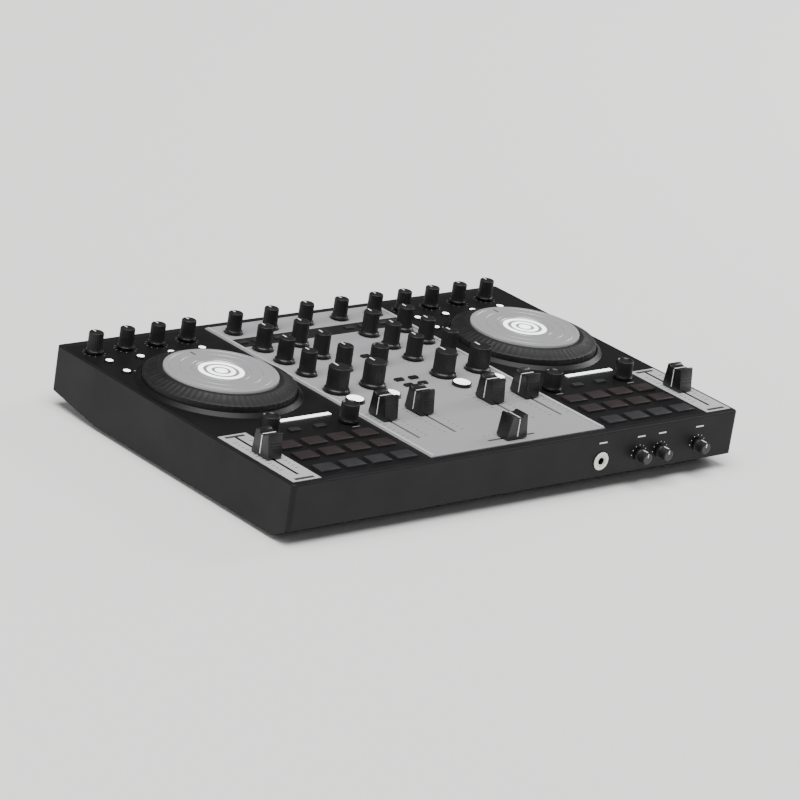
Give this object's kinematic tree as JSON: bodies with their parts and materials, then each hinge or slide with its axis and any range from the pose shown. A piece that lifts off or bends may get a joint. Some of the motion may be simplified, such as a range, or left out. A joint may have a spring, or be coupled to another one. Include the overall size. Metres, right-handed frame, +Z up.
{
  "type": "dj controller",
  "caption": "Flat mixing controller with jog wheels, channel faders, rotary knobs and pads on top, a headphone socket in front and sockets at the rear.",
  "frame": {"origin": "middle of the outline in X and Y, on the plane that the feet stand on", "axes": "+X to the operator's right, +Y towards the rear sockets, +Z up"},
  "size_m": [0.5, 0.348, 0.0774],
  "materials": {
    "case": "moulded",
    "deck_panel": "satin",
    "faceplate": "satin",
    "knob": "matt",
    "fader_cap": "satin",
    "jog_ring": "textured",
    "jog_disc": "spun",
    "button": "satin",
    "socket": "plated",
    "screw": "blackened",
    "foot": "matt",
    "board": "gloss"
  },
  "bodies": {
    "base": {"upper_case": "case", "bottom_cover": "case", "case_screws": "screw", "rubber_feet": "foot", "left_deck_panel": "deck_panel", "right_deck_panel": "deck_panel", "mixer_faceplate": "faceplate", "circuit_boards": "board", "sockets": "socket"},
    "fx_knob_left_1": {"fx_knob_left_1": "knob"},
    "fx_knob_left_2": {"fx_knob_left_2": "knob"},
    "fx_knob_left_3": {"fx_knob_left_3": "knob"},
    "fx_knob_left_4": {"fx_knob_left_4": "knob"},
    "loop_move_knob_left": {"loop_move_knob_left": "knob"},
    "loop_size_knob_left": {"loop_size_knob_left": "knob"},
    "fx_knob_right_1": {"fx_knob_right_1": "knob"},
    "fx_knob_right_2": {"fx_knob_right_2": "knob"},
    "fx_knob_right_3": {"fx_knob_right_3": "knob"},
    "fx_knob_right_4": {"fx_knob_right_4": "knob"},
    "loop_move_knob_right": {"loop_move_knob_right": "knob"},
    "loop_size_knob_right": {"loop_size_knob_right": "knob"},
    "main_level_knob": {"main_level_knob": "knob"},
    "browse_knob": {"browse_knob": "knob"},
    "gain_knob_c": {"gain_knob_c": "knob"},
    "eq_high_knob_c": {"eq_high_knob_c": "knob"},
    "eq_mid_knob_c": {"eq_mid_knob_c": "knob"},
    "eq_low_knob_c": {"eq_low_knob_c": "knob"},
    "filter_knob_c": {"filter_knob_c": "knob"},
    "gain_knob_a": {"gain_knob_a": "knob"},
    "eq_high_knob_a": {"eq_high_knob_a": "knob"},
    "eq_mid_knob_a": {"eq_mid_knob_a": "knob"},
    "eq_low_knob_a": {"eq_low_knob_a": "knob"},
    "filter_knob_a": {"filter_knob_a": "knob"},
    "gain_knob_b": {"gain_knob_b": "knob"},
    "eq_high_knob_b": {"eq_high_knob_b": "knob"},
    "eq_mid_knob_b": {"eq_mid_knob_b": "knob"},
    "eq_low_knob_b": {"eq_low_knob_b": "knob"},
    "filter_knob_b": {"filter_knob_b": "knob"},
    "gain_knob_d": {"gain_knob_d": "knob"},
    "eq_high_knob_d": {"eq_high_knob_d": "knob"},
    "eq_mid_knob_d": {"eq_mid_knob_d": "knob"},
    "eq_low_knob_d": {"eq_low_knob_d": "knob"},
    "filter_knob_d": {"filter_knob_d": "knob"},
    "mic_level_knob": {"mic_level_knob": "knob"},
    "cue_mix_knob": {"cue_mix_knob": "knob"},
    "phones_level_knob": {"phones_level_knob": "knob"},
    "channel_fader_c": {"channel_fader_c": "fader_cap"},
    "channel_fader_a": {"channel_fader_a": "fader_cap"},
    "channel_fader_b": {"channel_fader_b": "fader_cap"},
    "channel_fader_d": {"channel_fader_d": "fader_cap"},
    "crossfader": {"crossfader": "fader_cap"},
    "tempo_fader_left": {"tempo_fader_left": "fader_cap"},
    "tempo_fader_right": {"tempo_fader_right": "fader_cap"},
    "jog_left": {"jog_rim_left": "jog_ring", "jog_platter_left": "jog_disc"},
    "jog_right": {"jog_rim_right": "jog_ring", "jog_platter_right": "jog_disc"},
    "left_deck_buttons": {"left_deck_buttons": "button"},
    "right_deck_buttons": {"right_deck_buttons": "button"},
    "mixer_buttons": {"mixer_buttons": "button"}
  },
  "joints": [
    {"name": "fx_knob_left_1_turn", "type": "hinge", "parent": "base", "child": "fx_knob_left_1", "pos_m": [-0.23025, 0.138, 0.054], "axis": [0, 0, -1], "range_deg": [-150, 150]},
    {"name": "fx_knob_left_2_turn", "type": "hinge", "parent": "base", "child": "fx_knob_left_2", "pos_m": [-0.19725, 0.138, 0.054], "axis": [0, 0, -1], "range_deg": [-150, 150]},
    {"name": "fx_knob_left_3_turn", "type": "hinge", "parent": "base", "child": "fx_knob_left_3", "pos_m": [-0.16425, 0.138, 0.054], "axis": [0, 0, -1], "range_deg": [-150, 150]},
    {"name": "fx_knob_left_4_turn", "type": "hinge", "parent": "base", "child": "fx_knob_left_4", "pos_m": [-0.13125, 0.138, 0.054], "axis": [0, 0, -1], "range_deg": [-150, 150]},
    {"name": "loop_move_knob_left_turn", "type": "hinge", "parent": "base", "child": "loop_move_knob_left", "pos_m": [-0.2, -0.065, 0.054], "axis": [0, 0, -1], "continuous": true},
    {"name": "loop_size_knob_left_turn", "type": "hinge", "parent": "base", "child": "loop_size_knob_left", "pos_m": [-0.115, -0.065, 0.054], "axis": [0, 0, -1], "continuous": true},
    {"name": "fx_knob_right_1_turn", "type": "hinge", "parent": "base", "child": "fx_knob_right_1", "pos_m": [0.11425, 0.138, 0.054], "axis": [0, 0, -1], "range_deg": [-150, 150]},
    {"name": "fx_knob_right_2_turn", "type": "hinge", "parent": "base", "child": "fx_knob_right_2", "pos_m": [0.14725, 0.138, 0.054], "axis": [0, 0, -1], "range_deg": [-150, 150]},
    {"name": "fx_knob_right_3_turn", "type": "hinge", "parent": "base", "child": "fx_knob_right_3", "pos_m": [0.18025, 0.138, 0.054], "axis": [0, 0, -1], "range_deg": [-150, 150]},
    {"name": "fx_knob_right_4_turn", "type": "hinge", "parent": "base", "child": "fx_knob_right_4", "pos_m": [0.21325, 0.138, 0.054], "axis": [0, 0, -1], "range_deg": [-150, 150]},
    {"name": "loop_move_knob_right_turn", "type": "hinge", "parent": "base", "child": "loop_move_knob_right", "pos_m": [0.115, -0.065, 0.054], "axis": [0, 0, -1], "continuous": true},
    {"name": "loop_size_knob_right_turn", "type": "hinge", "parent": "base", "child": "loop_size_knob_right", "pos_m": [0.2, -0.065, 0.054], "axis": [0, 0, -1], "continuous": true},
    {"name": "main_level_knob_turn", "type": "hinge", "parent": "base", "child": "main_level_knob", "pos_m": [0, 0.138, 0.0548], "axis": [0, 0, -1], "range_deg": [-150, 150]},
    {"name": "browse_knob_turn", "type": "hinge", "parent": "base", "child": "browse_knob", "pos_m": [0, 0.035, 0.0548], "axis": [0, 0, -1], "continuous": true},
    {"name": "gain_knob_c_turn", "type": "hinge", "parent": "base", "child": "gain_knob_c", "pos_m": [-0.08, 0.138, 0.0548], "axis": [0, 0, -1], "range_deg": [-150, 150]},
    {"name": "eq_high_knob_c_turn", "type": "hinge", "parent": "base", "child": "eq_high_knob_c", "pos_m": [-0.08, 0.096, 0.0548], "axis": [0, 0, -1], "range_deg": [-150, 150]},
    {"name": "eq_mid_knob_c_turn", "type": "hinge", "parent": "base", "child": "eq_mid_knob_c", "pos_m": [-0.08, 0.066, 0.0548], "axis": [0, 0, -1], "range_deg": [-150, 150]},
    {"name": "eq_low_knob_c_turn", "type": "hinge", "parent": "base", "child": "eq_low_knob_c", "pos_m": [-0.08, 0.035, 0.0548], "axis": [0, 0, -1], "range_deg": [-150, 150]},
    {"name": "filter_knob_c_turn", "type": "hinge", "parent": "base", "child": "filter_knob_c", "pos_m": [-0.08, -0.006, 0.0548], "axis": [0, 0, -1], "range_deg": [-150, 150]},
    {"name": "gain_knob_a_turn", "type": "hinge", "parent": "base", "child": "gain_knob_a", "pos_m": [-0.04, 0.138, 0.0548], "axis": [0, 0, -1], "range_deg": [-150, 150]},
    {"name": "eq_high_knob_a_turn", "type": "hinge", "parent": "base", "child": "eq_high_knob_a", "pos_m": [-0.04, 0.096, 0.0548], "axis": [0, 0, -1], "range_deg": [-150, 150]},
    {"name": "eq_mid_knob_a_turn", "type": "hinge", "parent": "base", "child": "eq_mid_knob_a", "pos_m": [-0.04, 0.066, 0.0548], "axis": [0, 0, -1], "range_deg": [-150, 150]},
    {"name": "eq_low_knob_a_turn", "type": "hinge", "parent": "base", "child": "eq_low_knob_a", "pos_m": [-0.04, 0.035, 0.0548], "axis": [0, 0, -1], "range_deg": [-150, 150]},
    {"name": "filter_knob_a_turn", "type": "hinge", "parent": "base", "child": "filter_knob_a", "pos_m": [-0.04, -0.006, 0.0548], "axis": [0, 0, -1], "range_deg": [-150, 150]},
    {"name": "gain_knob_b_turn", "type": "hinge", "parent": "base", "child": "gain_knob_b", "pos_m": [0.04, 0.138, 0.0548], "axis": [0, 0, -1], "range_deg": [-150, 150]},
    {"name": "eq_high_knob_b_turn", "type": "hinge", "parent": "base", "child": "eq_high_knob_b", "pos_m": [0.04, 0.096, 0.0548], "axis": [0, 0, -1], "range_deg": [-150, 150]},
    {"name": "eq_mid_knob_b_turn", "type": "hinge", "parent": "base", "child": "eq_mid_knob_b", "pos_m": [0.04, 0.066, 0.0548], "axis": [0, 0, -1], "range_deg": [-150, 150]},
    {"name": "eq_low_knob_b_turn", "type": "hinge", "parent": "base", "child": "eq_low_knob_b", "pos_m": [0.04, 0.035, 0.0548], "axis": [0, 0, -1], "range_deg": [-150, 150]},
    {"name": "filter_knob_b_turn", "type": "hinge", "parent": "base", "child": "filter_knob_b", "pos_m": [0.04, -0.006, 0.0548], "axis": [0, 0, -1], "range_deg": [-150, 150]},
    {"name": "gain_knob_d_turn", "type": "hinge", "parent": "base", "child": "gain_knob_d", "pos_m": [0.08, 0.138, 0.0548], "axis": [0, 0, -1], "range_deg": [-150, 150]},
    {"name": "eq_high_knob_d_turn", "type": "hinge", "parent": "base", "child": "eq_high_knob_d", "pos_m": [0.08, 0.096, 0.0548], "axis": [0, 0, -1], "range_deg": [-150, 150]},
    {"name": "eq_mid_knob_d_turn", "type": "hinge", "parent": "base", "child": "eq_mid_knob_d", "pos_m": [0.08, 0.066, 0.0548], "axis": [0, 0, -1], "range_deg": [-150, 150]},
    {"name": "eq_low_knob_d_turn", "type": "hinge", "parent": "base", "child": "eq_low_knob_d", "pos_m": [0.08, 0.035, 0.0548], "axis": [0, 0, -1], "range_deg": [-150, 150]},
    {"name": "filter_knob_d_turn", "type": "hinge", "parent": "base", "child": "filter_knob_d", "pos_m": [0.08, -0.006, 0.0548], "axis": [0, 0, -1], "range_deg": [-150, 150]},
    {"name": "mic_level_knob_turn", "type": "hinge", "parent": "base", "child": "mic_level_knob", "pos_m": [0.135, -0.162, 0.0285], "axis": [0, 1, 0], "range_deg": [-150, 150]},
    {"name": "cue_mix_knob_turn", "type": "hinge", "parent": "base", "child": "cue_mix_knob", "pos_m": [0.16, -0.162, 0.0285], "axis": [0, 1, 0], "range_deg": [-150, 150]},
    {"name": "phones_level_knob_turn", "type": "hinge", "parent": "base", "child": "phones_level_knob", "pos_m": [0.205, -0.162, 0.0285], "axis": [0, 1, 0], "range_deg": [-150, 150]},
    {"name": "channel_fader_c_slide", "type": "slide", "parent": "base", "child": "channel_fader_c", "axis": [0, 1, 0], "range_m": [-0.045, 0.015]},
    {"name": "channel_fader_a_slide", "type": "slide", "parent": "base", "child": "channel_fader_a", "axis": [0, 1, 0], "range_m": [-0.045, 0.015]},
    {"name": "channel_fader_b_slide", "type": "slide", "parent": "base", "child": "channel_fader_b", "axis": [0, 1, 0], "range_m": [-0.045, 0.015]},
    {"name": "channel_fader_d_slide", "type": "slide", "parent": "base", "child": "channel_fader_d", "axis": [0, 1, 0], "range_m": [-0.045, 0.015]},
    {"name": "crossfader_slide", "type": "slide", "parent": "base", "child": "crossfader", "axis": [1, 0, 0], "range_m": [-0.0225, 0.0225]},
    {"name": "tempo_fader_left_slide", "type": "slide", "parent": "base", "child": "tempo_fader_left", "axis": [0, 1, 0], "range_m": [-0.035, 0.035]},
    {"name": "tempo_fader_right_slide", "type": "slide", "parent": "base", "child": "tempo_fader_right", "axis": [0, 1, 0], "range_m": [-0.035, 0.035]},
    {"name": "jog_left_spin", "type": "hinge", "parent": "base", "child": "jog_left", "pos_m": [-0.17225, 0.038, 0.054], "axis": [0, 0, -1], "continuous": true},
    {"name": "jog_right_spin", "type": "hinge", "parent": "base", "child": "jog_right", "pos_m": [0.17225, 0.038, 0.054], "axis": [0, 0, -1], "continuous": true},
    {"name": "left_deck_buttons_press", "type": "slide", "parent": "base", "child": "left_deck_buttons", "axis": [0, 0, -1], "range_m": [0, 0.001], "stiffness_N_per_m": 800, "springref_m": -0.001},
    {"name": "right_deck_buttons_press", "type": "slide", "parent": "base", "child": "right_deck_buttons", "axis": [0, 0, -1], "range_m": [0, 0.001], "stiffness_N_per_m": 800, "springref_m": -0.001},
    {"name": "mixer_buttons_press", "type": "slide", "parent": "base", "child": "mixer_buttons", "axis": [0, 0, -1], "range_m": [0, 0.001], "stiffness_N_per_m": 800, "springref_m": -0.001}
  ]
}
